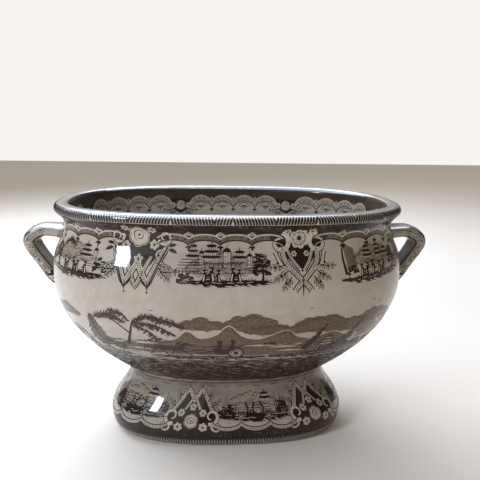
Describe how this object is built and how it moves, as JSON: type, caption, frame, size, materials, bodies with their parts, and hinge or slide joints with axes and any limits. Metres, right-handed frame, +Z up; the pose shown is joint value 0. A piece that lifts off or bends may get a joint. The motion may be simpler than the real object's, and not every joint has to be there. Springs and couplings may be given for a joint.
{
  "type": "footed serving bowl",
  "caption": "Oblong footed serving bowl with rolled lip, hollow pedestal foot and strap loop handles, glazed and transfer printed, open on top",
  "frame": {"origin": "middle of the foot's contact ring, on the table", "axes": "+Z up out of the mouth, X from handle to handle, Y across the bowl, front at -Y"},
  "size_m": [0.3674, 0.23, 0.213],
  "materials": {
    "printed_glaze": "gloss glaze over a brown-black underglaze print",
    "handle_glaze": "gloss glaze over a brown-black underglaze print",
    "slip": "gloss glaze over fired slip"
  },
  "bodies": {
    "root": {"bowl_body": "printed_glaze", "pedestal_foot": "printed_glaze", "waist_slip_joint": "slip", "left_handle": "handle_glaze", "right_handle": "handle_glaze", "left_handle_slip_joint": "slip", "right_handle_slip_joint": "slip"}
  },
  "joints": []
}
